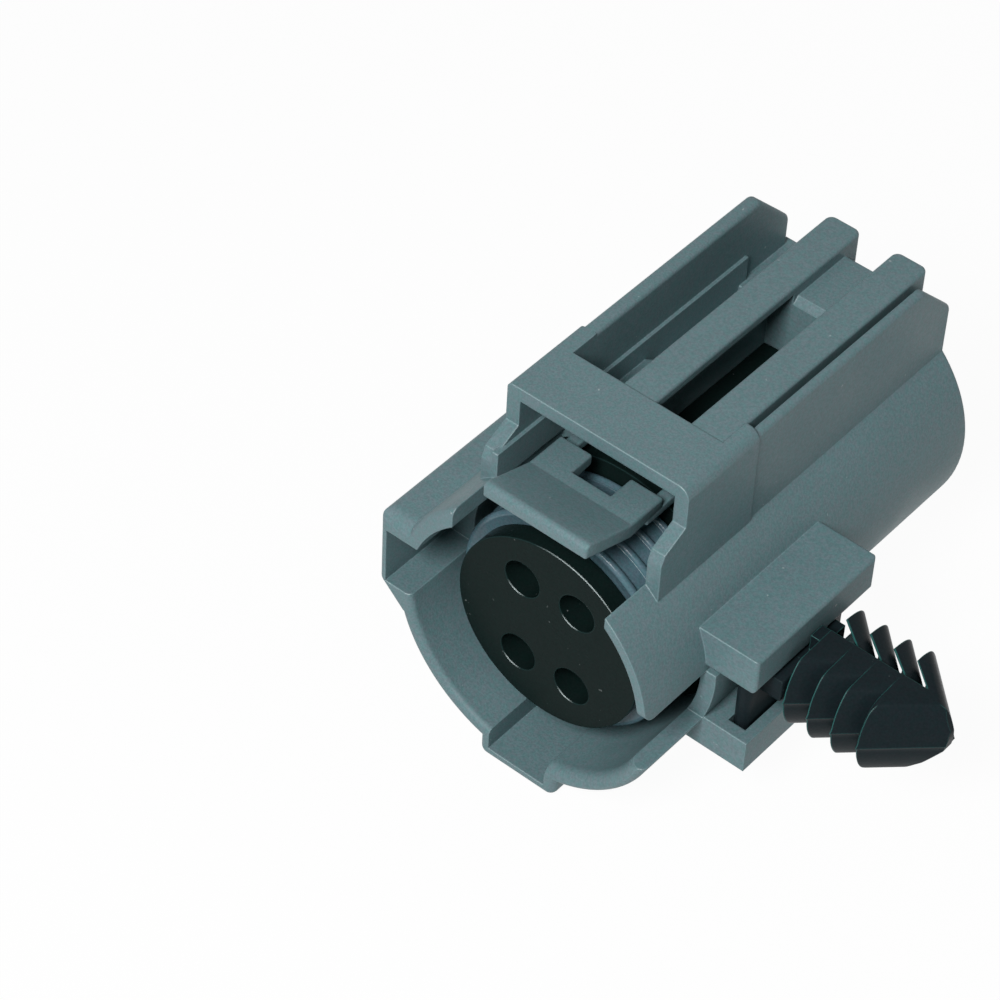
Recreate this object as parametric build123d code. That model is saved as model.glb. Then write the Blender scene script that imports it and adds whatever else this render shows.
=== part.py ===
from build123d import *
import math
import os

# Sealed four-way circular plug with a latch lever and a slide-on fir-tree clip.
# Millimetres. Y runs along the connector's axis from the mating face (y = 0) to the
# wire end, Z is up, and X points to the side that carries the clip rail.
# The origin is the centre of the mating face.

# Body
body_r = 12.25
body_length = 42.8
collar_step = 0.95
collar_length = 23.0
mouth_wall = 0.5
rear_wall = 1.45
shoulder_y = 15.0
panel_back_y = 7.6
rear_round = 0.5

# Mating guides on the collar
guide_side_x = -15.0
guide_roof_z = 5.9
guide_floor_z = -1.75
guide_wall = 0.75
guide_corner_z = -1.9
guide_foot_z = -4.3
guide_roof_wall = 1.9
guide_depth = 8.0
guide_round = 0.8
key_half_width = 3.9
key_bottom_z = -14.5
key_wall = 1.0
key_depth = 9.0
key_round = 0.8
front_round = 0.7
roof_round = 1.4
mouth_round = 0.55
low_mouth_round = 1.2
open_half_width = 7.6
open_back_y = 13.4
tongue_wall = 0.8
slot_low_z = -4.5
slot_high_angle = 4.0
tongue_round = 1.2

# Latch hood
hood_front_y = 7.7
hood_top_z = 18.3
hood_half_width = 8.9
hood_front_length = 8.8
hood_roof = 1.3
bridge_length = 5.9
right_wall_x = 8.75
left_wall_x = -8.6
left_wall = 1.35
right_wall = 0.75
wall_chamfer = 4.5
wall_rear_round = 1.0
wall_top_round = 0.4
right_wall_drop = 0.5
left_wall_setback = 0.55
cheek_reach = 2.8
cheek_top_z = 13.4
cheek_slope = 1.0
ledge_z = 13.4
ledge_step = 0.3
rib_drop = 0.12
left_rib_x = -2.35
right_rib_x = 4.25
rib_width = 3.25
rib_setback = 2.3
rib_round = 0.7
rib_edge_round = 0.3
rib_plate = 0.85
rib_web = 1.0
stop_setback = 4.45
stop_length = 6.9
stop_drop = 1.4
deck_length = 7.5
deck_z = 10.9

# Contact insert, ring seal and rear closure
insert_r = 9.0
insert_face_y = 3.0
insert_lip = 1.8
core_r = 8.3
flange_gap = 0.1
flange_thickness = 3.4
fit_gap = 0.05
seal_r = 9.7
seal_rib_r = 10.2
seal_ribs = 4
seal_rib_width = 0.9
wire_seal_length = 6.4
wire_seal_rib = 0.35
cap_length = 2.6
cap_recess = 0.7
cap_hole_r = 2.3
wire_hole_r = 1.35

# Contacts, on a rectangle of cavities
cavity_half_x = 2.75
cavity_half_z = 4.2
cavity_mouth_r = 1.75
cavity_mouth_depth = 2.4
socket_r = 1.4
socket_length = 8.9
socket_wall = 0.45
socket_slot_length = 6.8
socket_slot_width = 0.4
neck_r = 0.7
neck_length = 3.6
barrel_r = 1.5
barrel_bore_r = 1.1
barrel_floor = 3.8
barrel_end_gap = 2.9
sight_hole_r = 0.6
sight_hole_offset = 3.2
contact_front_y = 6.2
cavity_gap = 0.1

# Latch lever
lever_half_width = 5.1
lever_rise = 1.2
lever_plate = 1.45
lever_rear_plate = 1.05
lever_back_y = 9.9
lever_bend_y = 6.0
lip_front_y = 0.9
lip_rise = 1.8
lip_thickness = 1.3
notch_half_width = 1.9
notch_front_y = 7.4
pin_r = 0.8
pin_y = 12.3
pin_drop = 0.75
pin_bore_gap = 0.05
pin_seat = 0.7
pin_end_gap = 0.1
arm_width = 1.2
arm_thickness = 0.85
arm_drop = 0.95

# Clip rail
rail_front_y = 7.6
rail_length = 15.4
rail_out_x = 16.9
rail_top_z = 5.1
rail_block_height = 3.5
leg_top_z = -4.4
leg_height = 3.2
leg_out_x = 16.7
leg_lip = 0.95
leg_front_wall = 1.15
track_in_x = 14.05
track_depth = 2.0
rail_round = 0.35

# Fir-tree clip: foot in the track, a stem through its mouth, and swept barbs outside
clip_gap = 0.12
foot_length = 12.2
foot_round = 0.7
stem_inset = 0.6
stem_half_width = 2.6
pad_width = 5.6
pad_low_z = -0.9
pad_out_x = 17.65
tree_y = 15.8
tree_z = -0.8
tree_r = 5.5
tree_half_height = 3.8
far_side_inset = 0.25
web_far_y = 15.95
web_thickness = 1.5
first_tier_x = 17.9
tier_pitch = 2.3
tiers = 4
barb_sweep = 0.95
barb_thickness = 1.25
ridge_rise = 0.15
rim_points = 9
nose_length = 5.2
nose_top_setback = 1.2
nose_low_setback = 0.9
nose_low_rise = 2.0
nose_taper_length = 3.7


def box(x0, x1, y0, y1, z0, z1):
    size = Box(x1 - x0, y1 - y0, z1 - z0)
    return Pos((x0 + x1) / 2, (y0 + y1) / 2, (z0 + z1) / 2) * size


def rod_y(radius, y0, y1, x=0.0, z=0.0):
    rod = Rot(90, 0, 0) * Cylinder(radius, y1 - y0)
    return Pos(x, (y0 + y1) / 2, z) * rod


def rod_x(radius, x0, x1, y=0.0, z=0.0):
    rod = Rot(0, 90, 0) * Cylinder(radius, x1 - x0)
    return Pos((x0 + x1) / 2, y, z) * rod


def prism_y(points, y0, y1):
    """A solid with the outline (x, z), from y0 to y1."""
    outline = [Vector(x, y0, z) for x, z in points]
    face = Face(Wire.make_polygon(outline, close=True))
    return extrude(face, amount=y1 - y0, dir=(0, 1, 0))


def prism_x(points, x0, x1):
    """A solid with the outline (y, z), from x0 to x1."""
    outline = [Vector(x0, y, z) for y, z in points]
    face = Face(Wire.make_polygon(outline, close=True))
    return extrude(face, amount=x1 - x0, dir=(1, 0, 0))


def prism_z(points, z0, z1):
    """A solid with the outline (x, y), from z0 to z1."""
    outline = [Vector(x, y, z0) for x, y in points]
    face = Face(Wire.make_polygon(outline, close=True))
    return extrude(face, amount=z1 - z0, dir=(0, 0, 1))


def sector_y(radius, start, end, y0, y1, steps=12):
    """A wedge about the Y axis, from one angle to another, measured from +X up."""
    points = [(0.0, 0.0)]
    for i in range(steps + 1):
        a = math.radians(start + (end - start) * i / steps)
        points.append((radius * math.cos(a), radius * math.sin(a)))
    return prism_y(points, y0, y1)


def one(shape):
    """The single solid of a shape."""
    solids = shape.solids()
    if len(solids) != 1:
        raise ValueError(f"{len(solids)} solids where one was expected")
    return solids[0]


# Places that several pieces share
collar_r = body_r + collar_step
collar_inner_r = body_r - mouth_wall
tongue_inner_r = body_r - tongue_wall
rear_bore_r = body_r - rear_wall
rib_back_y = body_length - rib_setback
stop_back_y = body_length - stop_setback
stop_front_y = stop_back_y - stop_length
deck_front_y = body_length - deck_length
bridge_back_y = hood_front_y + bridge_length
hood_back_y = hood_front_y + hood_front_length
hood_ceiling_z = hood_top_z - hood_roof
rail_back_y = rail_front_y + rail_length
rail_bottom_z = rail_top_z - rail_block_height
leg_bottom_z = leg_top_z - leg_height
track_out_x = leg_out_x - leg_lip
track_low_z = leg_top_z - track_depth
track_high_z = rail_bottom_z + track_depth
track_front_y = rail_front_y + leg_front_wall
slot_high_z = body_r * math.sin(math.radians(slot_high_angle))
insert_lip_back_y = insert_face_y + insert_lip
flange_front_y = shoulder_y - flange_thickness
flange_r = collar_inner_r - flange_gap
cap_back_y = body_length - cap_recess
cap_front_y = cap_back_y - cap_length
wire_seal_back_y = cap_front_y - fit_gap
wire_seal_front_y = wire_seal_back_y - wire_seal_length
insert_back_y = wire_seal_front_y - fit_gap
contact_back_y = insert_back_y - barrel_end_gap
rib_top_z = hood_top_z - rib_drop
lever_top_z = body_r + lever_rise
lip_top_z = lever_top_z + lip_rise
pin_z = lever_top_z - pin_drop
cavities = [(x, z) for z in (cavity_half_z, -cavity_half_z) for x in (-cavity_half_x, cavity_half_x)]


def make_wall(x0, x1, back_y, top_z):
    """A side wall of the hood: sloped and rounded at the rear, with rounded top edges."""
    profile = [
        (hood_back_y - 1, 0),
        (hood_back_y - 1, top_z),
        (back_y - wall_chamfer, top_z),
        (back_y, top_z - wall_chamfer),
        (back_y, 0),
    ]
    wall = prism_x(profile, x0, x1)
    corners = wall.edges().filter_by(Axis.X).filter_by(lambda e: e.center().Z > 1 and e.center().Y > hood_back_y)
    wall = fillet(corners, wall_rear_round)
    top = wall.edges().filter_by(Axis.Y).group_by(Axis.Z)[-1].sort_by(Axis.X)
    return fillet(top[-1:] if x0 > 0 else top, wall_top_round)


def mouth_flare(radius):
    """The ring that is cut away to round the collar's inner front edge."""
    ring = rod_y(collar_inner_r + radius, -1, radius)
    ring -= Pos(0, radius, 0) * Rot(90, 0, 0) * Torus(collar_inner_r + radius, radius)
    return ring - rod_y(collar_inner_r - 0.5, -2, radius + 1)


# Housing: body tube, thicker collar below and to the left, guides, hood, ribs and rail
def make_housing():
    tube = rod_y(body_r, 0, body_length)
    tube = fillet(tube.edges().group_by(Axis.Y)[-1], rear_round)
    collar = rod_y(collar_r, 0, collar_length)
    collar = fillet(collar.edges().group_by(Axis.Y)[0], front_round)
    far = 2 * collar_r
    collar -= box(0, far, -1, collar_length + 1, slot_high_z, far)
    shell = tube + collar

    # Side guide: flat roof and side, with a sloped underside that returns to the collar
    foot_x = -math.sqrt(collar_r**2 - guide_foot_z**2)
    guide_outline = [
        (0, guide_roof_z),
        (guide_side_x, guide_roof_z),
        (guide_side_x, guide_corner_z),
        (foot_x, guide_foot_z),
        (0, guide_foot_z),
    ]
    guide = prism_y(guide_outline, 0, collar_length)
    guide_edges = guide.edges().filter_by(Axis.Y).group_by(Axis.X)[0]
    guide = fillet(guide_edges, guide_round)
    guide = fillet(guide.edges().group_by(Axis.Y)[0], front_round)
    roof_low_z = guide_roof_z - roof_round
    corner = box(guide_side_x - 1, -8, -1, roof_round, roof_low_z, guide_roof_z + 1)
    guide -= corner - rod_x(roof_round, guide_side_x - 2, 0, roof_round, roof_low_z)

    # Bottom key
    key_outline = [
        (-key_half_width, 0),
        (-key_half_width, key_bottom_z),
        (key_half_width, key_bottom_z),
        (key_half_width, 0),
    ]
    key = prism_y(key_outline, 0, collar_length)
    key_edges = key.edges().filter_by(Axis.Y).group_by(Axis.Z)[0]
    key = fillet(key_edges, key_round)
    key = fillet(key.edges().group_by(Axis.Y)[0], front_round)

    # Hood: wider front with the bridge, then two thin side walls
    hood = box(-hood_half_width, hood_half_width, hood_front_y, hood_back_y, 0, hood_top_z)
    top_edges = hood.edges().filter_by(Axis.Y).group_by(Axis.Z)[-1].sort_by(Axis.X)
    hood = fillet([top_edges[1]], 1.1)
    top_edges = hood.edges().filter_by(Axis.Y).sort_by(Axis.X)
    left_top = [e for e in top_edges if e.center().Z > hood_top_z - 0.05 and e.center().X < 0]
    hood = fillet(left_top, 0.5)
    inner = left_wall_x + left_wall
    outer = right_wall_x - right_wall
    left = make_wall(left_wall_x, inner, body_length - left_wall_setback, hood_top_z)
    right = make_wall(outer, right_wall_x, body_length, hood_top_z - right_wall_drop)

    # Cheeks: the side walls reach forward beside the lever
    cheek_outline = [
        (hood_front_y + 1, cheek_top_z + cheek_slope),
        (hood_front_y, cheek_top_z + cheek_slope),
        (hood_front_y - cheek_reach + 0.4, cheek_top_z - 0.2),
        (hood_front_y - cheek_reach, cheek_top_z - 1.2),
        (hood_front_y - cheek_reach, 6.0),
        (hood_front_y + 1, 6.0),
    ]
    cheeks = prism_x(cheek_outline, -hood_half_width, hood_half_width)
    cheeks -= box(-open_half_width, open_half_width, 0, hood_front_y + 2, 0, far)
    cheeks -= rod_y(collar_inner_r, 0, hood_front_y + 2)

    # Ribs on the crown, with rounded rear corners, and the stop block between them
    ribs = []
    for x in (left_rib_x, right_rib_x):
        rib = box(x, x + rib_width, bridge_back_y - 1, rib_back_y, 0, rib_top_z)
        rib = fillet(rib.edges().filter_by(Axis.Z).group_by(Axis.Y)[-1], rib_round)
        top = rib.faces().sort_by(Axis.Z)[-1]
        ribs.append(fillet(top.edges().sort_by(Axis.Y)[1:], rib_edge_round))
    stop = box(left_rib_x + 1, right_rib_x + 1, stop_front_y, stop_back_y, 0, hood_top_z - stop_drop)
    front = stop.edges().filter_by(Axis.X).group_by(Axis.Z)[-1].sort_by(Axis.Y)[0]
    stop = chamfer([front], 0.6)
    deck = box(inner - 0.5, left_rib_x + 0.5, deck_front_y, body_length, 0, deck_z)

    # Clip rail: a block above and a leg below
    block = box(0, rail_out_x, rail_front_y, rail_back_y, rail_bottom_z, rail_top_z)
    block = fillet(block.edges().group_by(Axis.X)[-1], rail_round)
    leg = box(0, leg_out_x, rail_front_y, rail_back_y, leg_bottom_z, leg_top_z)

    ribs_end_x = right_rib_x + rib_width
    roof = hood - box(inner, ribs_end_x, bridge_back_y, body_length + 1, 0, hood_top_z + 1)
    roof += left + right
    body = shell + guide + key + roof + cheeks + block + leg + deck + stop
    for rib in ribs:
        body += rib

    # Bores
    body -= rod_y(collar_inner_r, -1, shoulder_y)
    body -= rod_y(rear_bore_r, shoulder_y - 1, body_length + 1)

    # The tongue is a thinner strip of wall on the clip side
    inner_tongue = rod_y(body_r - 0.01, 0, panel_back_y) - rod_y(tongue_inner_r, 0, panel_back_y)
    strip = box(2, far, 0, panel_back_y, slot_high_z, far)
    tongue = inner_tongue & strip
    body += tongue
    corner = box(0, far, -1, tongue_round, slot_high_z - 1, slot_high_z + tongue_round)
    corner -= rod_x(tongue_round, -1, far + 1, tongue_round, slot_high_z + tongue_round)
    body -= corner & box(8, far, -2, tongue_round, slot_high_z - 2, far)

    # Side guide groove and key groove
    body -= box(guide_side_x + guide_wall, -6, -1, guide_depth, guide_floor_z, guide_roof_z - guide_roof_wall)
    groove = key_half_width - key_wall
    body -= box(-groove, groove, -1, key_depth, key_bottom_z + key_wall, -6)

    # Slot between the tongue and the lower collar
    body -= box(8, far, -1, panel_back_y, slot_low_z, slot_high_z)

    # Open top in front of and below the lever
    body -= box(-open_half_width, open_half_width, -1, open_back_y, 2, hood_ceiling_z)
    tunnel_floor = body_r
    body -= box(-open_half_width, open_half_width, -1, bridge_back_y, tunnel_floor, hood_ceiling_z)

    # Window to the inside between the ribs, which are undercut there
    window_x0 = left_rib_x + rib_width
    body -= box(window_x0, right_rib_x, bridge_back_y, stop_front_y, rear_bore_r - 3, hood_top_z)
    under_x0 = left_rib_x + rib_web
    under_x1 = ribs_end_x - rib_web
    body -= box(under_x0, under_x1, bridge_back_y, stop_front_y, rear_bore_r - 3, rib_top_z - rib_plate)

    # Ledge on the inside of the left wall
    ledge_x = inner + ledge_step
    body += box(inner - 0.2, ledge_x, bridge_back_y, deck_front_y + 1, body_r - 2, ledge_z)
    tunnel_ledge_x = -open_half_width + ledge_step
    cheek_front_y = hood_front_y - cheek_reach
    body += box(-open_half_width - 0.3, tunnel_ledge_x, cheek_front_y, bridge_back_y + 0.2, body_r - 2, ledge_z)

    # Trunnion seats for the lever
    seat = open_half_width + pin_seat
    body -= rod_x(pin_r + pin_bore_gap, -seat, seat, pin_y, pin_z)

    # Track for the clip's foot, open to the rear and to the side
    body -= box(track_in_x, track_out_x, track_front_y, rail_back_y + 1, track_low_z, track_high_z)
    body -= box(track_in_x, far, rail_front_y - 1, rail_back_y + 1, leg_top_z, rail_bottom_z)

    # Rounded inner edge of the collar's mouth, larger at the lower right
    low_right = box(key_half_width - key_wall, far, -2, 2, -far, slot_low_z - 0.01)
    low_left = box(-far, key_wall - key_half_width, -2, 2, -far, guide_floor_z)
    body -= mouth_flare(low_mouth_round) & low_right
    body -= mouth_flare(mouth_round) & low_left
    return one(body)


# Latch lever: flat pads at the rear, a ramp that rises to the front lip, and two trunnions
def make_lever():
    under = lever_top_z - lever_plate
    slope = (lip_top_z - lever_top_z) / (lever_bend_y - lip_front_y)
    outline = [
        (lever_back_y, lever_top_z),
        (lever_bend_y, lever_top_z),
        (lip_front_y, lip_top_z),
        (lip_front_y - 0.6, lip_top_z - 0.25),
        (lip_front_y - 0.4, lip_top_z - lip_thickness),
        (lip_front_y + 1.3, lip_top_z - lip_thickness - 1.3 * slope - 0.25),
        (lever_bend_y - 0.4, under),
        (notch_front_y, under),
        (lever_back_y, lever_top_z - lever_rear_plate),
    ]
    plate = prism_x(outline, -lever_half_width, lever_half_width)
    lever = plate - box(-notch_half_width, notch_half_width, notch_front_y, lever_back_y + 1, 0, lip_top_z)

    # Arms back to the pivot
    arm_low_z = pin_z - arm_drop
    for side in (-1, 1):
        centre = side * (lever_half_width - arm_width / 2)
        left = centre - arm_width / 2
        lever += box(left, left + arm_width, lever_bend_y + 1, pin_y, arm_low_z, arm_low_z + arm_thickness)
    reach = open_half_width + pin_seat - pin_end_gap
    lever += rod_x(pin_r, -reach, reach, pin_y, pin_z)
    return one(lever)


# Contact insert: front face, core, flange and rear body, with four stepped cavities
def make_insert():
    insert = rod_y(insert_r, insert_face_y, insert_lip_back_y)
    insert += rod_y(core_r, insert_face_y, shoulder_y)
    insert += rod_y(flange_r, flange_front_y, shoulder_y)
    insert += rod_y(rear_bore_r - fit_gap, flange_front_y + 0.5, insert_back_y)
    neck_front_y = contact_front_y + socket_length + cavity_gap
    neck_back_y = contact_front_y + socket_length + neck_length - cavity_gap
    for x, z in cavities:
        insert -= rod_y(cavity_mouth_r, insert_face_y - 1, insert_face_y + cavity_mouth_depth, x, z)
        insert -= rod_y(socket_r + cavity_gap, insert_face_y, neck_front_y, x, z)
        insert -= rod_y(neck_r + cavity_gap, insert_face_y, insert_back_y, x, z)
        insert -= rod_y(barrel_r + cavity_gap, neck_back_y, insert_back_y + 1, x, z)
    return one(insert)


# Ring seal: a sleeve round the core with ribs
def make_ring_seal():
    y0 = insert_lip_back_y + fit_gap
    y1 = flange_front_y - fit_gap
    seal = rod_y(seal_r, y0, y1)
    pitch = (y1 - y0 - seal_rib_width) / (seal_ribs - 1)
    for i in range(seal_ribs):
        start = y0 + i * pitch
        seal += rod_y(seal_rib_r, start, start + seal_rib_width)
    seal -= rod_y(core_r + fit_gap / 2, y0 - 1, y1 + 1)
    return one(seal)


# Turned crimp contact: slotted socket, slim neck and wire barrel with a sight hole
def make_contact(x, z):
    y0 = contact_front_y
    y1 = y0 + socket_length
    y2 = y1 + neck_length
    y3 = contact_back_y
    contact = rod_y(socket_r, y0, y1, x, z)
    contact += rod_y(neck_r, y0 + 0.5, y3 - 1, x, z)
    contact += rod_y(barrel_r, y2, y3, x, z)
    contact -= rod_y(socket_r - socket_wall, y0 - 1, y0 + socket_slot_length, x, z)
    half = socket_slot_width / 2
    contact -= box(x - half, x + half, y0 - 1, y0 + socket_slot_length, z, z + barrel_r)
    contact -= rod_y(barrel_bore_r, y2 + barrel_floor, y3 + 1, x, z)
    hole = Pos(x, y2 + sight_hole_offset + 1, z + barrel_r) * Cylinder(sight_hole_r, 2 * barrel_r)
    contact -= hole
    return one(contact)


# Wire seal: soft disc with ribs round its edge and four holes
def make_wire_seal():
    r = rear_bore_r - fit_gap
    seal = rod_y(r - wire_seal_rib, wire_seal_front_y, wire_seal_back_y)
    rib = wire_seal_length / 7
    for i in range(4):
        start = wire_seal_front_y + 2 * i * rib
        seal += rod_y(r, start, start + rib)
    for x, z in cavities:
        seal -= rod_y(wire_hole_r, wire_seal_front_y - 1, wire_seal_back_y + 1, x, z)
    return one(seal)


# Rear cap: closes the bore behind the wire seal
def make_cap():
    cap = rod_y(rear_bore_r - fit_gap, cap_front_y, cap_back_y)
    for x, z in cavities:
        cap -= rod_y(cap_hole_r, cap_front_y - 1, cap_back_y + 1, x, z)
    return one(cap)


# Fir-tree clip. The near side of the tree is solid and sawtoothed, and the far side is
# a row of thin barbs with slits between them. Both sweep back towards the centre plane.
def rim(inset=0.0):
    """Half the tree's outline, as (distance from the centre plane, height), from top to bottom."""
    half_angle = math.asin(tree_half_height / tree_r)
    points = []
    for i in range(rim_points):
        a = half_angle * (1 - 2 * i / (rim_points - 1))
        ridge = ridge_rise if i == rim_points // 2 else 0.0
        points.append((tree_r * math.cos(a) + ridge - inset, tree_r * math.sin(a)))
    return points


def swept(side, points, x, length):
    """A prism with the outline (distance, height), swept from x back towards the centre plane."""
    corners = [Vector(x, tree_y + side * d, tree_z + h) for d, h in points]
    face = Face(Wire.make_polygon(corners, close=True))
    direction = Vector(1, -side * barb_sweep, 0)
    return extrude(face, amount=length * direction.length, dir=direction.normalized())


def make_clip():
    # Foot, stem and the pad that lies against the rail
    foot_front_y = track_front_y + clip_gap
    foot = box(track_in_x + clip_gap, track_out_x - clip_gap, foot_front_y, foot_front_y + foot_length,
               track_low_z + clip_gap, track_high_z - clip_gap)
    foot = fillet(foot.edges().filter_by(Axis.Z).group_by(Axis.Y)[0], foot_round)
    stem_x = track_in_x + stem_inset
    mouth_low_z = leg_top_z + 2 * clip_gap
    mouth_high_z = rail_bottom_z - 2 * clip_gap
    stem = box(stem_x, pad_out_x, tree_y - stem_half_width, tree_y + stem_half_width, mouth_low_z, mouth_high_z)
    pad = box(stem_x, pad_out_x, tree_y - pad_width, tree_y, pad_low_z, mouth_high_z)

    # Tree
    low = tree_z - tree_half_height
    high = tree_z + tree_half_height
    last_x = first_tier_x + (tiers - 1) * tier_pitch
    nose_x = last_x + nose_length
    reach = 2 * tree_r
    tree = box(rail_out_x + clip_gap, last_x + 2, web_far_y - web_thickness, web_far_y, low, high)
    middle = [(-reach, -tree_half_height), (-reach, tree_half_height)]
    near_room = box(rail_out_x, nose_x, web_far_y - reach, web_far_y, low, high)
    far_room = box(rail_out_x, nose_x, web_far_y, web_far_y + reach, low, high)
    length = (tree_r + 0.5) / barb_sweep
    slat = rim(far_side_inset) + rim(far_side_inset + barb_thickness)[::-1]
    for i in range(tiers - 1):
        x = first_tier_x + i * tier_pitch
        tree += swept(-1, rim() + middle, x, length) & near_room
        tree += swept(1, slat, x, length) & far_room

    # Nose: both sides sweep to a blunt end, which is cut to its profile from the side
    near = swept(-1, rim() + middle, last_x, nose_length + 2)
    far = swept(1, rim(far_side_inset) + middle, last_x, nose_length + 2)
    profile = [
        (last_x - 1, high),
        (nose_x - nose_top_setback, high),
        (nose_x - 0.5, tree_z + 0.68 * tree_half_height),
        (nose_x - 0.05, tree_z + 0.38 * tree_half_height),
        (nose_x, tree_z + 0.1 * tree_half_height),
        (nose_x - 0.15, tree_z - 0.18 * tree_half_height),
        (nose_x - nose_low_setback, low + nose_low_rise),
        (nose_x - nose_low_setback - nose_taper_length, low),
        (last_x - 1, low),
    ]
    corners = [Vector(x, tree_y - reach, z) for x, z in profile]
    side_shape = extrude(Face(Wire.make_polygon(corners, close=True)), amount=2 * reach, dir=(0, 1, 0))
    nose = near & far & side_shape
    return one(foot + stem + pad + tree + nose)


nodes = {
    "housing": make_housing(),
    "latch_lever": make_lever(),
    "contact_insert": make_insert(),
    "ring_seal": make_ring_seal(),
    "wire_seal": make_wire_seal(),
    "rear_cap": make_cap(),
    "fir_tree_clip": make_clip(),
}
for number, (cx, cz) in enumerate(cavities, start=1):
    nodes[f"contact_{number}"] = make_contact(cx, cz)

os.makedirs("parts", exist_ok=True)
for name, solid in nodes.items():
    export_step(solid, f"parts/{name}.step")
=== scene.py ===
import math

import bpy
from mathutils import Matrix, Vector


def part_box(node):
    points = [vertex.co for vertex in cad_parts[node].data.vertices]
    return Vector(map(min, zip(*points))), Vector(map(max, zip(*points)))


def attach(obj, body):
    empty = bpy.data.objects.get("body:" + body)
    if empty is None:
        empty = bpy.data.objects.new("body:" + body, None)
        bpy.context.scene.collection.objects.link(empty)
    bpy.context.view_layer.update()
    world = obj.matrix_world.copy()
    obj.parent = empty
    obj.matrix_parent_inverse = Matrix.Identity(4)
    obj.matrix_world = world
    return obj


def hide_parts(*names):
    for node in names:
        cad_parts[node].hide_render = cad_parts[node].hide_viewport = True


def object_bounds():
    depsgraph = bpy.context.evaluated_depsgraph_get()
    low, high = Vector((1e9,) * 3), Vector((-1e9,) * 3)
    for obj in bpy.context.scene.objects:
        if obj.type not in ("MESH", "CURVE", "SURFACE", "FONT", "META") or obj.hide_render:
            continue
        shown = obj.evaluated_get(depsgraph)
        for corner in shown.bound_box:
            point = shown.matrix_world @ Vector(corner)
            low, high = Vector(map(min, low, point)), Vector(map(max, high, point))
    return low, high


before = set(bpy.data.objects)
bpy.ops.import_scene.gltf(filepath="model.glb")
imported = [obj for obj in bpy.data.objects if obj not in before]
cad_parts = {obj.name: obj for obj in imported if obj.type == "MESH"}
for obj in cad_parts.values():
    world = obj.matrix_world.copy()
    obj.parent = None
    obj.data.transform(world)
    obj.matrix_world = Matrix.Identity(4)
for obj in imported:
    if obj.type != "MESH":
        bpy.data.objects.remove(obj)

bl_info = {
    "name": "Cable plug with latch and fir-tree clip",
    "version": (1, 0, 0),
    "blender": (4, 5, 0),
    "location": "3D View > Sidebar > Cable Plug",
    "description": "Builds the finishes, the modelled pieces and the studio of a round cable plug",
    "category": "Object",
}

CAD_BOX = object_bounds()
MM = 0.001

# Points closer than this are merged when a piece is finished
MERGE_DISTANCE = 0.002 * MM

# Painted highlight on edges: its colour, and the way the highlighted edges face, up and forwards
# between the key light and the camera
PAINTED_GLINT_COLOUR = (0.72, 0.82, 0.82, 1)
PAINTED_GLINT_DIRECTION = (0.29, -0.62, 0.73)
FLECK_COLOUR = (0.5, 0.55, 0.55, 1)


# Sizes and colours that a user may change

class HousingFinish(bpy.types.PropertyGroup):
    """The moulded housing's finish"""
    colour: bpy.props.FloatVectorProperty(
        name="Housing colour", description="Colour of the moulded grey plastic",
        subtype="COLOR", size=3, min=0, max=1, default=(0.115, 0.190, 0.204))
    roughness: bpy.props.FloatProperty(
        name="Roughness", description="How matt the moulded surface is", min=0, max=1, default=0.5)
    grain: bpy.props.FloatProperty(
        name="Grain depth", description="Depth of the fine moulded grain",
        unit="LENGTH", default=0.02 * MM)
    edge_radius: bpy.props.FloatProperty(
        name="Edge radius", description="Radius of the moulded edges",
        unit="LENGTH", default=0.2 * MM)


class LeverSizes(bpy.types.PropertyGroup):
    """The latch lever's sizes"""
    half_width: bpy.props.FloatProperty(
        name="Half width", description="From the middle to a side of the lever",
        unit="LENGTH", default=5.1 * MM)
    edge_radius: bpy.props.FloatProperty(
        name="Edge radius", description="Radius of the lever's edges",
        unit="LENGTH", default=0.2 * MM)
    colour: bpy.props.FloatVectorProperty(
        name="Lever colour", description="Colour of the lever's plastic",
        subtype="COLOR", size=3, min=0, max=1, default=(0.115, 0.190, 0.204))


class ClipSizes(bpy.types.PropertyGroup):
    """The fir-tree clip's sizes"""
    tree_radius: bpy.props.FloatProperty(
        name="Tree radius", description="Radius of the tree's rims",
        unit="LENGTH", default=5.5 * MM)
    tiers: bpy.props.IntProperty(
        name="Tiers", description="Number of tiers, the nose among them", min=2, max=6, default=4)
    sweep: bpy.props.FloatProperty(
        name="Sweep", description="How far a barb leans back for each millimetre inwards",
        min=0.3, max=2, default=0.95)
    colour: bpy.props.FloatVectorProperty(
        name="Clip colour", description="Colour of the clip's black nylon",
        subtype="COLOR", size=3, min=0, max=1, default=(0.010, 0.017, 0.020))


class InsertFinish(bpy.types.PropertyGroup):
    """The contact insert's, seals' and contacts' finish"""
    insert_colour: bpy.props.FloatVectorProperty(
        name="Insert colour", description="Colour of the smooth black insert",
        subtype="COLOR", size=3, min=0, max=1, default=(0.0055, 0.0125, 0.0115))
    seal_colour: bpy.props.FloatVectorProperty(
        name="Seal colour", description="Colour of the ring seal's silicone",
        subtype="COLOR", size=3, min=0, max=1, default=(0.085, 0.155, 0.185))
    contact_colour: bpy.props.FloatVectorProperty(
        name="Contact colour", description="Colour of the tinned contacts",
        subtype="COLOR", size=3, min=0, max=1, default=(0.60, 0.58, 0.54))


class StudioLook(bpy.types.PropertyGroup):
    """The floor, the light and the camera"""
    floor_colour: bpy.props.FloatVectorProperty(
        name="Floor colour", description="Colour of the plain floor",
        subtype="COLOR", size=3, min=0, max=1, default=(0.85, 0.85, 0.85))
    key_power: bpy.props.FloatProperty(
        name="Key light", description="Power of the light near the camera",
        unit="POWER", default=0.98)
    room_light: bpy.props.FloatProperty(
        name="Room light", description="Strength of the even light all round",
        min=0, max=2, default=0.17)
    focal_length: bpy.props.FloatProperty(
        name="Focal length", description="Focal length of the camera",
        unit="CAMERA", default=137.97)


# Modelling by hand

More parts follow.
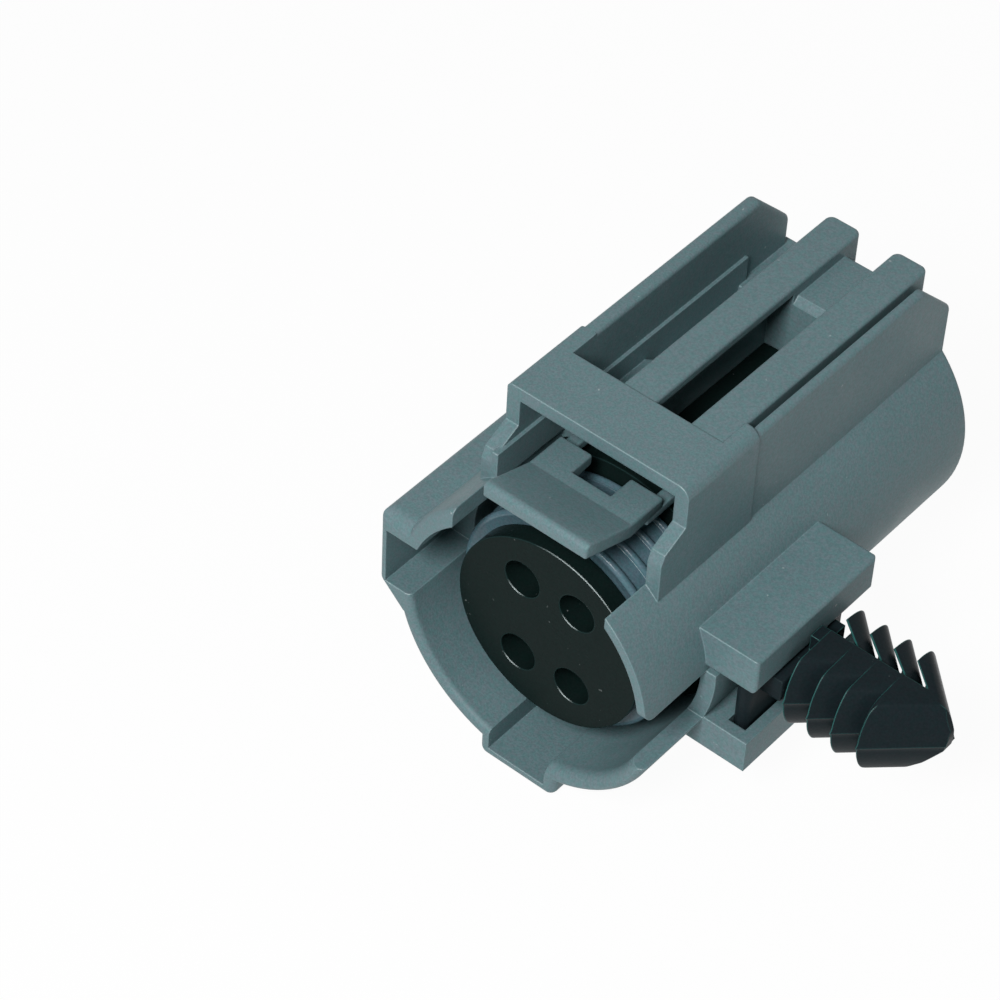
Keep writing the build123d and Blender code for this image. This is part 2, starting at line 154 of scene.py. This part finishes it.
def deselect():
    """Leaves nothing selected, in object mode."""
    if bpy.context.object and bpy.context.object.mode != "OBJECT":
        bpy.ops.object.mode_set(mode="OBJECT")
    bpy.ops.object.select_all(action="DESELECT")


def take(obj):
    """Selects one object alone and makes it active."""
    deselect()
    obj.select_set(True)
    bpy.context.view_layer.objects.active = obj


def place(obj, name):
    """Names a new primitive and moves its place into its mesh."""
    obj.name = name
    take(obj)
    bpy.ops.object.transform_apply(location=True, rotation=True, scale=True)
    return obj


def block(name, low, high):
    """A box between two corners, in millimetres."""
    deselect()
    middle = [(a + b) / 2 * MM for a, b in zip(low, high)]
    size = [(b - a) * MM for a, b in zip(low, high)]
    bpy.ops.mesh.primitive_cube_add(size=1, location=middle, scale=size)
    return place(bpy.context.object, name)


def rod(name, radius, start, end, sides=48):
    """A cylinder between two points, in millimetres."""
    deselect()
    a, b = Vector(start) * MM, Vector(end) * MM
    turn = (b - a).to_track_quat("Z", "Y").to_euler()
    bpy.ops.mesh.primitive_cylinder_add(
        vertices=sides, radius=radius * MM, depth=(b - a).length,
        location=(a + b) / 2, rotation=turn)
    return place(bpy.context.object, name)


def use(obj, tool, operation):
    """Adds, cuts or keeps what is common with another piece, which is used up."""
    take(obj)
    step = obj.modifiers.new("shape", "BOOLEAN")
    step.operation = operation
    step.solver = "EXACT"
    step.object = tool
    bpy.ops.object.modifier_apply(modifier=step.name)
    mesh = tool.data
    bpy.data.objects.remove(tool)
    bpy.data.meshes.remove(mesh)


def slice_off(obj, point, outward):
    """Cuts a piece with a plane through a point, in millimetres, and closes the cut."""
    take(obj)
    bpy.ops.object.mode_set(mode="EDIT")
    bpy.ops.mesh.select_all(action="SELECT")
    bpy.ops.mesh.bisect(
        plane_co=Vector(point) * MM, plane_no=outward, clear_outer=True, use_fill=True)
    bpy.ops.object.mode_set(mode="OBJECT")


def round_edges(obj, radius, steps=3, angle=30):
    """Rounds the sharp edges of a piece; the radius is in metres."""
    take(obj)
    step = obj.modifiers.new("edges", "BEVEL")
    step.width = radius
    step.segments = steps
    step.limit_method = "ANGLE"
    step.angle_limit = math.radians(angle)
    bpy.ops.object.modifier_apply(modifier=step.name)
    return obj


def choose_in(obj, kind):
    """Leaves nothing chosen inside a piece, ready to choose its faces, edges or points."""
    take(obj)
    bpy.ops.object.mode_set(mode="EDIT")
    bpy.ops.mesh.select_mode(type=kind)
    bpy.ops.mesh.select_all(action="DESELECT")
    bpy.ops.object.mode_set(mode="OBJECT")


def bevel_where(obj, chosen, radius, steps=6):
    """Rounds the edges that a test of their two ends, in millimetres, chooses."""
    choose_in(obj, "EDGE")
    for edge in obj.data.edges:
        edge.select = chosen(*[obj.data.vertices[v].co / MM for v in edge.vertices])
    bpy.ops.object.mode_set(mode="EDIT")
    bpy.ops.mesh.bevel(offset=radius * MM, segments=steps, affect="EDGES")
    bpy.ops.object.mode_set(mode="OBJECT")


def tidy(obj, angle=35):
    """Merges doubles, points the faces outwards and smooths the round surfaces."""
    take(obj)
    bpy.ops.object.mode_set(mode="EDIT")
    bpy.ops.mesh.select_all(action="SELECT")
    bpy.ops.mesh.remove_doubles(threshold=MERGE_DISTANCE)
    bpy.ops.mesh.normals_make_consistent(inside=False)
    bpy.ops.object.mode_set(mode="OBJECT")
    bpy.ops.object.shade_smooth_by_angle(angle=math.radians(angle))


def dress(obj, material):
    """Gives a piece or a node its one material."""
    obj.data.materials.clear()
    obj.data.materials.append(material)


# Finishes

def link(tree, start, out, end, into):
    tree.links.new(start.outputs[out], end.inputs[into])


def node(tree, kind, **values):
    """Adds a shader node and sets its inputs by name."""
    made = tree.nodes.new(kind)
    for key, value in values.items():
        made.inputs[key.replace("_", " ")].default_value = value
    return made


def blank_material(name):
    """A material with its output node alone, its node tree and that output."""
    made = bpy.data.materials.new(name)
    made.use_nodes = True
    tree = made.node_tree
    tree.nodes.clear()
    return made, tree, tree.nodes.new("ShaderNodeOutputMaterial")


def maths(tree, operation, kind="ShaderNodeMath"):
    """Adds a node that does one operation on numbers or vectors."""
    made = tree.nodes.new(kind)
    made.operation = operation
    return made


def colour_mix(tree, blend="MIX"):
    """Adds a node that mixes two colours."""
    made = tree.nodes.new("ShaderNodeMix")
    made.data_type = "RGBA"
    made.blend_type = blend
    return made


def ramp(tree, low, low_colour, high, high_colour):
    """A colour ramp between two colours."""
    made = tree.nodes.new("ShaderNodeValToRGB")
    stops = zip(made.color_ramp.elements, (low, high), (low_colour, high_colour))
    for step, place_at, colour in stops:
        step.position = place_at
        step.color = (*colour, 1)
    return made


def tinted(colour, *share):
    """A colour with each channel multiplied by its share."""
    return [min(1, c * s) for c, s in zip(colour, share)]


def moulding(name, colour, roughness, grain, edge_radius, wear_and_highlight_colour, edge_light=0.5,
             flecks=0.0, specular=0.3, painted_glint=0.5, painted_glint_back=50 * MM):
    """Moulded plastic or rubber: clouded colour, fine grain, soft edges painted paler (partly edge
    wear, partly painted highlight), painted glints on edges that face up and forwards, and pale
    flecks.
    """
    made, tree, out = blank_material(name)
    skin = node(tree, "ShaderNodeBsdfPrincipled", Specular_IOR_Level=specular)
    link(tree, skin, "BSDF", out, "Surface")
    where = tree.nodes.new("ShaderNodeTexCoord")

    # Broad clouds, then small teal and warm patches, then the finest speckle
    clouds = node(tree, "ShaderNodeTexNoise", Scale=140.0, Detail=5.0, Roughness=0.6)
    link(tree, where, "Object", clouds, "Vector")
    tone = ramp(tree, 0.3, tinted(colour, 0.95, 0.95, 0.95), 0.72, tinted(colour, 1.06, 1.05, 1.05))
    link(tree, clouds, "Fac", tone, "Fac")
    patches = node(tree, "ShaderNodeTexNoise", Scale=2300.0, Detail=2.0, Roughness=0.5)
    link(tree, where, "Object", patches, "Vector")
    shift = ramp(tree, 0.38, (0.44, 0.51, 0.50), 0.62, (0.57, 0.49, 0.51))
    link(tree, patches, "Fac", shift, "Fac")
    patched = colour_mix(tree, "OVERLAY")
    patched.inputs["Factor"].default_value = 0.8
    link(tree, tone, "Color", patched, "A")
    link(tree, shift, "Color", patched, "B")
    fine = node(tree, "ShaderNodeTexNoise", Scale=5200.0, Detail=3.0, Roughness=0.65)
    link(tree, where, "Object", fine, "Vector")
    speckle = colour_mix(tree, "OVERLAY")
    speckle.inputs["Factor"].default_value = 0.12
    link(tree, patched, "Result", speckle, "A")
    grey = ramp(tree, 0.36, (0, 0, 0), 0.64, (1, 1, 1))
    link(tree, fine, "Fac", grey, "Fac")
    link(tree, grey, "Color", speckle, "B")

    # Edges: rounded by the bevel's normal and painted paler where it turns, partly as edge wear and
    # partly as painted highlight
    soft = node(tree, "ShaderNodeBevel", Radius=edge_radius)
    soft.samples = 6
    plain = tree.nodes.new("ShaderNodeNewGeometry")
    across = maths(tree, "DOT_PRODUCT", "ShaderNodeVectorMath")
    link(tree, soft, "Normal", across, 0)
    link(tree, plain, "Normal", across, 1)
    edge = node(tree, "ShaderNodeMapRange", From_Min=0.985, From_Max=0.80,
                To_Min=0.0, To_Max=edge_light)
    link(tree, across, "Value", edge, "Value")
    wear_and_highlight = colour_mix(tree)
    wear_and_highlight.inputs["B"].default_value = (*wear_and_highlight_colour, 1)
    link(tree, edge, "Result", wear_and_highlight, "Factor")
    link(tree, speckle, "Result", wear_and_highlight, "A")

    # Painted highlight: edges that turn up and forwards, towards the key light and the camera, are
    # painted brighter as glints, and only ahead of a set depth along y
    facing = maths(tree, "DOT_PRODUCT", "ShaderNodeVectorMath")
    facing.inputs[1].default_value = PAINTED_GLINT_DIRECTION
    link(tree, soft, "Normal", facing, 0)
    turned = node(tree, "ShaderNodeMapRange", From_Min=0.90, From_Max=0.99, To_Min=0.0, To_Max=1.0)
    link(tree, facing, "Value", turned, "Value")
    bend = node(tree, "ShaderNodeMapRange", From_Min=0.985, From_Max=0.90, To_Min=0.0, To_Max=painted_glint)
    link(tree, across, "Value", bend, "Value")
    both = maths(tree, "MULTIPLY")
    link(tree, turned, "Result", both, 0)
    link(tree, bend, "Result", both, 1)
    along = tree.nodes.new("ShaderNodeSeparateXYZ")
    link(tree, where, "Object", along, "Vector")
    ahead = maths(tree, "LESS_THAN")
    ahead.inputs[1].default_value = painted_glint_back
    link(tree, along, "Y", ahead, 0)
    shown = maths(tree, "MULTIPLY")
    link(tree, both, "Value", shown, 0)
    link(tree, ahead, "Value", shown, 1)
    bright = colour_mix(tree)
    bright.inputs["B"].default_value = PAINTED_GLINT_COLOUR
    link(tree, shown, "Value", bright, "Factor")
    link(tree, wear_and_highlight, "Result", bright, "A")
    last = bright

    if flecks:
        dust = node(tree, "ShaderNodeTexNoise", Scale=1500.0, Detail=2.0, Roughness=0.5)
        link(tree, where, "Object", dust, "Vector")
        few = node(tree, "ShaderNodeMapRange", From_Min=0.75, From_Max=0.80,
                   To_Min=0.0, To_Max=flecks)
        link(tree, dust, "Fac", few, "Value")
        last = colour_mix(tree)
        last.inputs["B"].default_value = FLECK_COLOUR
        link(tree, few, "Result", last, "Factor")
        link(tree, bright, "Result", last, "A")
    link(tree, last, "Result", skin, "Base Color")

    gloss = node(tree, "ShaderNodeMapRange", From_Min=0.3, From_Max=0.7,
                 To_Min=roughness - 0.06, To_Max=roughness + 0.08)
    link(tree, clouds, "Fac", gloss, "Value")
    link(tree, gloss, "Result", skin, "Roughness")
    bump = node(tree, "ShaderNodeBump", Strength=1.0, Distance=grain)
    link(tree, fine, "Fac", bump, "Height")
    link(tree, soft, "Normal", bump, "Normal")
    link(tree, bump, "Normal", skin, "Normal")
    return made


def tinned_metal(name, colour):
    """Turned and tinned brass with fine turning lines round the axis."""
    made, tree, out = blank_material(name)
    skin = node(tree, "ShaderNodeBsdfPrincipled", Metallic=1.0)
    link(tree, skin, "BSDF", out, "Surface")
    where = tree.nodes.new("ShaderNodeTexCoord")
    lines = node(tree, "ShaderNodeTexWave", Scale=1800.0, Distortion=3.0, Detail=3.0)
    lines.bands_direction = "Y"
    link(tree, where, "Object", lines, "Vector")
    mottle = node(tree, "ShaderNodeTexNoise", Scale=1600.0, Detail=4.0)
    link(tree, where, "Object", mottle, "Vector")
    tone = ramp(tree, 0.35, tinted(colour, 0.7, 0.7, 0.7), 0.7, tinted(colour, 1.3, 1.3, 1.3))
    link(tree, mottle, "Fac", tone, "Fac")
    link(tree, tone, "Color", skin, "Base Color")
    gloss = node(tree, "ShaderNodeMapRange", To_Min=0.16, To_Max=0.38)
    link(tree, mottle, "Fac", gloss, "Value")
    link(tree, gloss, "Result", skin, "Roughness")
    bump = node(tree, "ShaderNodeBump", Strength=0.4, Distance=0.004 * MM)
    link(tree, lines, "Fac", bump, "Height")
    link(tree, bump, "Normal", skin, "Normal")
    return made


# Pieces

class PLUG_OT_housing(bpy.types.Operator):
    """Gives the moulded housing its finish"""
    bl_idname = "plug.housing"
    bl_label = "Housing"

    def execute(self, context):
        look = context.scene.plug_housing
        # Paler colour for the edges: partly edge wear, partly painted highlight; painted glints
        # come on top
        wear_and_highlight_tint = tinted(look.colour, 2.1, 2.0, 2.0)
        finish = moulding("moulded grey", look.colour, look.roughness, look.grain,
                          look.edge_radius, wear_and_highlight_tint, flecks=0.5)
        dress(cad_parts["housing"], finish)
        return {"FINISHED"}


class PLUG_OT_latch_lever(bpy.types.Operator):
    """Models the latch lever: two pads beside a notch, a ramp to the lip, arms and trunnions"""
    bl_idname = "plug.latch_lever"
    bl_label = "Latch lever"

    def execute(self, context):
        sizes = context.scene.plug_lever
        half = sizes.half_width / MM
        top, under, rear_under, bend, notch, back = 13.45, 12.0, 12.4, 6.0, 7.4, 9.9
        notch_half = 1.9
        arm_width, arm_inset, arm_overlap, arm_low, arm_high = 1.2, 0.01, 0.6, 11.75, 12.6
        hinge_y, hinge_z, trunnion_radius, trunnion_reach = 12.3, 12.7, 0.8, 8.2
        # How far forwards and up the ramp, the lip and its front each reach
        ramp_steps = ((-4.2, 1.44), (-0.95, 0.36), (-0.45, -0.1))
        front_taper = (0.995, 1, 0.75)
        lever = block("lever_plate", (-half, bend, under), (half, back, top))
        choose_in(lever, "FACE")
        for face in lever.data.polygons:
            face.select = face.normal.y < -0.9
        bpy.ops.object.mode_set(mode="EDIT")
        for forwards, up in ramp_steps:
            bpy.ops.mesh.extrude_region_move(
                TRANSFORM_OT_translate={"value": (0, forwards * MM, up * MM)})
        bpy.ops.transform.resize(value=front_taper)
        bpy.ops.object.mode_set(mode="OBJECT")
        for point in lever.data.vertices:
            if point.co.y > (back - 0.1) * MM and point.co.z < (under + 0.1) * MM:
                point.co.z = rear_under * MM
        use(lever, block("notch", (-notch_half, notch, 11), (notch_half, 11, 15)), "DIFFERENCE")
        round_edges(lever, sizes.edge_radius, steps=6)
        for side in (-1, 1):
            inner, outer = sorted((side * (half - arm_width), side * (half - arm_inset)))
            arm = block("arm", (inner, notch + arm_overlap, arm_low), (outer, hinge_y, arm_high))
            use(lever, round_edges(arm, 0.15 * MM), "UNION")
        trunnions = rod("trunnions", trunnion_radius,
                        (-trunnion_reach, hinge_y, hinge_z), (trunnion_reach, hinge_y, hinge_z))
        use(lever, trunnions, "UNION")
        tidy(lever, 17)
        # Paler colour for the edges: partly edge wear, partly painted highlight; painted glints
        # come on top
        wear_and_highlight_tint = tinted(sizes.colour, 2.3, 2.2, 2.2)
        dress(lever, moulding("lever grey", sizes.colour, 0.46, 0.018 * MM, sizes.edge_radius,
                              wear_and_highlight_tint, flecks=0.5))
        lever.name = "latch_lever_dressed"
        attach(lever, "lever")
        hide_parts("latch_lever")
        return {"FINISHED"}


class PLUG_OT_insert(bpy.types.Operator):
    """Gives the contact insert and the rear cap their smooth black"""
    bl_idname = "plug.insert"
    bl_label = "Contact insert and rear cap"

    def execute(self, context):
        look = context.scene.plug_insert
        # Paler edges and strong glints: painted highlight on the insert's front rim and the hole
        # lips, kept in front of 6 mm so the flange inside the hood gets none
        wear_and_highlight_tint = tinted(look.insert_colour, 5, 5.5, 6)
        black = moulding("smooth black", look.insert_colour, 0.26, 0.010 * MM, 0.2 * MM, wear_and_highlight_tint,
                         edge_light=0.5, flecks=0.25, specular=0.03, painted_glint=0.9, painted_glint_back=6 * MM)
        dress(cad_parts["contact_insert"], black)
        dress(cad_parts["rear_cap"], black)
        return {"FINISHED"}


class PLUG_OT_ring_seal(bpy.types.Operator):
    """Models the ring seal: a sleeve round the insert with four rounded ribs"""
    bl_idname = "plug.ring_seal"
    bl_label = "Ring seal"

    def execute(self, context):
        look = context.scene.plug_insert
        low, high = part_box("ring_seal")
        front, back = low.y / MM, high.y / MM
        sleeve_radius, core_radius, sleeve_inset = 9.85, 8.33, 0.1
        rib, rib_ring, ribs, sides = 0.35, 9.82, 4, 96
        seal = rod("ring_seal_dressed", sleeve_radius,
                   (0, front + sleeve_inset, 0), (0, back - sleeve_inset, 0), sides=sides)
        pitch = (back - front - 2 * rib) / (ribs - 1)
        for i in range(ribs):
            deselect()
            bpy.ops.mesh.primitive_torus_add(
                location=(0, (front + rib + i * pitch) * MM, 0), rotation=(math.pi / 2, 0, 0),
                major_segments=sides, minor_segments=16,
                major_radius=rib_ring * MM, minor_radius=rib * MM)
            use(seal, place(bpy.context.object, "rib"), "UNION")
        core = rod("core", core_radius, (0, front - 1, 0), (0, back + 1, 0), sides=sides)
        use(seal, core, "DIFFERENCE")
        tidy(seal)
        # Paler colour for the edges: partly edge wear, partly painted highlight; painted glints
        # come on top
        wear_and_highlight_tint = tinted(look.seal_colour, 2, 1.9, 1.9)
        dress(seal, moulding("seal silicone", look.seal_colour, 0.2, 0.008 * MM, 0.1 * MM, wear_and_highlight_tint,
                             edge_light=0.2, specular=0.2))
        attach(seal, "connector")
        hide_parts("ring_seal")
        return {"FINISHED"}


class PLUG_OT_wire_end(bpy.types.Operator):
    """Gives the wire seal its silicone and the contacts their tin"""
    bl_idname = "plug.wire_end"
    bl_label = "Wire seal and contacts"

    def execute(self, context):
        look = context.scene.plug_insert
        # Paler colour for the edges: partly edge wear, partly painted highlight; painted glints
        # come on top
        wear_and_highlight_tint = tinted(look.seal_colour, 2, 1.9, 1.9)
        silicone = moulding("wire seal silicone", look.seal_colour, 0.35, 0.008 * MM, 0.1 * MM,
                            wear_and_highlight_tint, edge_light=0.2)
        dress(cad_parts["wire_seal"], silicone)
        tin = tinned_metal("tinned contact", look.contact_colour)
        for number in range(1, 5):
            dress(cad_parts[f"contact_{number}"], tin)
        return {"FINISHED"}


class PLUG_OT_fir_tree_clip(bpy.types.Operator):
    """Models the fir-tree clip: foot, solid toothed side, thin barbs and blunt nose"""
    bl_idname = "plug.fir_tree_clip"
    bl_label = "Fir-tree clip"

    def execute(self, context):
        sizes = context.scene.plug_clip
        radius = sizes.tree_radius / MM
        lean = sizes.sweep
        middle_y, middle_z, half = 15.8, -0.8, 3.8
        far_y = 15.95
        first_x, pitch = 17.9, 2.3
        last_x = first_x + (sizes.tiers - 1) * pitch
        nose_x = last_x + 5.2
        crest = 0.2
        web_inset, web_thickness, web_x = 0.05, 1.5, 17.02
        tier_length, nose_length, slot_length = 6.5, 7, 8
        far_radius, far_corner, nose_corner = radius - 0.25, 2, 1.2
        barb_thickness, slot_ahead, slot_taper, over = 1.25, 0.5, 0.13, 0.3
        # Small steps that keep faces of joined pieces from lying in one plane
        tooth_step, barb_step, nose_step, room_step = 0.01, 0.02, 0.02, 0.03

        def swept(side, x, length, r, flat=half, corner=0.4, lean=lean):
            """A tier: a disc pressed to two flats with round corners, drawn back along its lean."""
            deselect()
            bpy.ops.mesh.primitive_circle_add(
                vertices=96, radius=r * MM, fill_type="NGON",
                location=(x * MM, middle_y * MM, middle_z * MM), rotation=(0, math.pi / 2, 0))
            tier = place(bpy.context.object, "tier")
            for point in tier.data.vertices:
                height = point.co.z / MM - middle_z
                past = (abs(height) - flat) / corner + 1
                if past > 0:
                    pressed = flat - corner * math.exp(-past)
                    point.co.z = (middle_z + math.copysign(pressed, height)) * MM
                if abs(height) < 0.05:
                    point.co.y += math.copysign(crest * MM, point.co.y / MM - middle_y)
            bpy.ops.object.mode_set(mode="EDIT")
            bpy.ops.mesh.select_all(action="SELECT")
            bpy.ops.mesh.extrude_region_move(
                TRANSFORM_OT_translate={"value": (length * MM, -side * lean * length * MM, 0)})
            bpy.ops.mesh.select_all(action="SELECT")
            bpy.ops.mesh.normals_make_consistent(inside=False)
            bpy.ops.object.mode_set(mode="OBJECT")
            return tier

        def slot_behind(x, rise=over):
            """What is cut away behind a barb, so that it thins towards its root."""
            slot = swept(1, x - slot_ahead, slot_length, far_radius, half + rise,
                         corner=far_corner, lean=lean - slot_taper)
            back = -(barb_thickness - slot_ahead * lean) * MM
            slot.data.transform(Matrix.Translation((0, back, 0)))
            return slot

        # The solid side with its teeth, and the thin barbs of the other side
        web = half - web_inset
        tree = block("tree", (web_x, far_y - web_thickness, middle_z - web),
                     (last_x + 2, far_y, middle_z + web))
        for i in range(sizes.tiers - 1):
            x = first_x + i * pitch
            tooth = swept(-1, x, tier_length, radius)
            slice_off(tooth, (0, far_y - tooth_step * (i + 1), 0), (0, 1, 0))
            slice_off(tooth, (nose_x - 1, 0, 0), (1, 0, 0))
            use(tree, tooth, "UNION")
            barb = swept(1, x, tier_length, far_radius, corner=far_corner)
            use(barb, slot_behind(x), "DIFFERENCE")
            slice_off(barb, (0, far_y - barb_step * (i + 1), 0), (0, -1, 0))
            use(tree, barb, "UNION")

        # Nose: both leans meet in a blunt end, cut to its profile and thinned behind its far barb
        nose = swept(-1, last_x, nose_length, radius)
        far_lean = swept(1, last_x - nose_step, nose_length, far_radius, half + over,
                         corner=nose_corner)
        use(nose, far_lean, "INTERSECT")
        low, high = middle_z - half, middle_z + half
        profile = [
            (nose_x - 1.2, high),
            (nose_x - 0.5, middle_z + 0.68 * half),
            (nose_x - 0.05, middle_z + 0.38 * half),
            (nose_x, middle_z + 0.1 * half),
            (nose_x - 0.15, middle_z - 0.18 * half),
            (nose_x - 0.9, low + 2.0),
            (nose_x - 4.6, low),
        ]
        for (x0, z0), (x1, z1) in zip(profile, profile[1:]):
            slice_off(nose, (x0, 0, z0), (z0 - z1, 0, x1 - x0))
        slot = slot_behind(last_x, rise=1)
        far_room = block("far room", (last_x - 2, far_y + room_step, -9),
                         (nose_x + 2, far_y + 9, 9))
        use(slot, far_room, "INTERSECT")
        use(nose, slot, "DIFFERENCE")
        use(tree, nose, "UNION")

        # Foot in the track, stem through the mouth and the pad against the rail
        low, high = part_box("fir_tree_clip")
        foot_x, foot_y = low.x / MM, low.y / MM
        foot_length, foot_out_x, foot_low, foot_high, foot_corner = 12.2, 15.63, -6.28, 3.48, 0.7
        foot = block("foot", (foot_x, foot_y, foot_low),
                     (foot_out_x, foot_y + foot_length, foot_high))

        def front_upright(a, b):
            """Whether an edge of the foot stands upright at its front."""
            return max(a.y, b.y) < foot_y + 0.1 and abs(a.z - b.z) > 1

        bevel_where(foot, front_upright, foot_corner)
        use(tree, round_edges(foot, 0.12 * MM, steps=2, angle=40), "UNION")
        use(tree, block("stem", (14.65, 13.2, -4.16), (17.65, 18.4, 1.36)), "UNION")
        pad = block("pad", (14.64, 10.2, -0.9), (17.64, 15.8, 1.35))
        use(tree, round_edges(pad, 0.15 * MM), "UNION")
        tidy(tree, 30)
        # Bright teal colour for the edges: painted highlight along the rims and crests, partly edge
        # wear, with faint painted glints
        wear_and_highlight_tint = tinted(sizes.colour, 4, 10, 8)
        dress(tree, moulding("black nylon", sizes.colour, 0.34, 0.012 * MM, 0.16 * MM, wear_and_highlight_tint,
                             edge_light=0.8, flecks=0.2, specular=0.04, painted_glint=0.12))
        tree.name = "fir_tree_clip_dressed"
        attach(tree, "clip")
        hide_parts("fir_tree_clip")
        return {"FINISHED"}


class PLUG_OT_studio(bpy.types.Operator):
    """Sets up the pale floor, the light and the camera"""
    bl_idname = "plug.studio"
    bl_label = "Studio"

    def execute(self, context):
        look = context.scene.plug_studio
        floor_gap, floor_size, white_share = 0.02 * MM, 3, 0.96
        middle = Vector((0.01, 0.012, 0))
        key_distance, key_direction, key_size = 0.32, Vector((0.12, -0.66, 0.74)), 0.11
        floor_z = CAD_BOX[0][2] - floor_gap
        deselect()
        bpy.ops.mesh.primitive_plane_add(size=floor_size, location=(0, 0, floor_z))
        floor = place(bpy.context.object, "floor")
        made, tree, out = blank_material("floor white")
        matt = node(tree, "ShaderNodeBsdfDiffuse", Color=(*look.floor_colour, 1))
        white = node(tree, "ShaderNodeEmission", Color=(1, 1, 1, 1), Strength=1.0)
        share = maths(tree, "MULTIPLY")
        share.inputs[1].default_value = white_share
        link(tree, self.seen_rays(tree), "Value", share, 0)
        mix = tree.nodes.new("ShaderNodeMixShader")
        link(tree, share, "Value", mix, "Fac")
        link(tree, matt, "BSDF", mix, 1)
        link(tree, white, "Emission", mix, 2)
        link(tree, mix, "Shader", out, "Surface")
        dress(floor, made)

        world = bpy.data.worlds.new("room")
        context.scene.world = world
        world.use_nodes = True
        tree = world.node_tree
        tree.nodes.clear()
        out = tree.nodes.new("ShaderNodeOutputWorld")
        back = node(tree, "ShaderNodeBackground", Color=(1, 1, 1, 1))
        level = node(tree, "ShaderNodeMapRange", From_Min=0, From_Max=1,
                     To_Min=look.room_light, To_Max=1.0)
        link(tree, self.seen_rays(tree), "Value", level, "Value")
        link(tree, level, "Result", back, "Strength")
        link(tree, back, "Background", out, "Surface")

        deselect()
        bpy.ops.object.light_add(type="AREA", location=middle + key_distance * key_direction)
        key = context.object
        key.name = "key light"
        key.data.shape = "DISK"
        key.data.size = key_size
        key.data.energy = look.key_power
        key.rotation_euler = (middle - key.location).to_track_quat("-Z", "Y").to_euler()

        deselect()
        bpy.ops.object.camera_add(location=(0, 0, 0))
        camera = context.object
        camera.name = "photo camera"
        right = Vector((0.76416, 0.64391, 0.03792))
        up = Vector((-0.47991, 0.52828, 0.70044))
        forward = Vector((-0.43098, 0.55345, -0.71270))
        pose = Matrix((right, up, -forward)).transposed().to_4x4()
        pose.translation = Vector((0.12194, -0.16049, 0.22179))
        camera.matrix_world = pose
        camera.data.sensor_width = 36
        camera.data.lens = look.focal_length
        camera.data.clip_start = 0.005
        camera.data.clip_end = 10
        context.scene.camera = camera
        context.scene.view_settings.view_transform = "Standard"
        return {"FINISHED"}

    def seen_rays(self, tree):
        """Camera, glossy and transmission rays, which see white."""
        rays = tree.nodes.new("ShaderNodeLightPath")
        some = maths(tree, "MAXIMUM")
        link(tree, rays, "Is Camera Ray", some, 0)
        link(tree, rays, "Is Glossy Ray", some, 1)
        every = maths(tree, "MAXIMUM")
        link(tree, some, "Value", every, 0)
        link(tree, rays, "Is Transmission Ray", every, 1)
        return every


class PLUG_PT_panel(bpy.types.Panel):
    """Lists the plug's pieces and sizes"""
    bl_idname = "PLUG_PT_panel"
    bl_label = "Cable Plug"
    bl_space_type = "VIEW_3D"
    bl_region_type = "UI"
    bl_category = "Cable Plug"

    def draw(self, context):
        layout = self.layout
        for owner, operators in PANEL_ROWS:
            box = layout.box()
            for operator in operators:
                box.operator(operator)
            group = getattr(context.scene, owner)
            for key in group.__annotations__:
                box.prop(group, key)


GROUPS = {
    "plug_housing": HousingFinish,
    "plug_lever": LeverSizes,
    "plug_clip": ClipSizes,
    "plug_insert": InsertFinish,
    "plug_studio": StudioLook,
}
PANEL_ROWS = (
    ("plug_housing", ("plug.housing",)),
    ("plug_lever", ("plug.latch_lever",)),
    ("plug_insert", ("plug.insert", "plug.ring_seal", "plug.wire_end")),
    ("plug_clip", ("plug.fir_tree_clip",)),
    ("plug_studio", ("plug.studio",)),
)
OPERATORS = (
    PLUG_OT_housing,
    PLUG_OT_latch_lever,
    PLUG_OT_insert,
    PLUG_OT_ring_seal,
    PLUG_OT_wire_end,
    PLUG_OT_fir_tree_clip,
    PLUG_OT_studio,
)


def register():
    for group in GROUPS.values():
        bpy.utils.register_class(group)
    for operator in OPERATORS:
        bpy.utils.register_class(operator)
    bpy.utils.register_class(PLUG_PT_panel)
    for name, group in GROUPS.items():
        setattr(bpy.types.Scene, name, bpy.props.PointerProperty(type=group))


def unregister():
    for name in GROUPS:
        delattr(bpy.types.Scene, name)
    bpy.utils.unregister_class(PLUG_PT_panel)
    for operator in reversed(OPERATORS):
        bpy.utils.unregister_class(operator)
    for group in reversed(list(GROUPS.values())):
        bpy.utils.unregister_class(group)


def main():
    register()
    for _, operators in PANEL_ROWS:
        for operator in operators:
            family, action = operator.split(".")
            getattr(getattr(bpy.ops, family), action)()


if __name__ == "__main__":
    main()
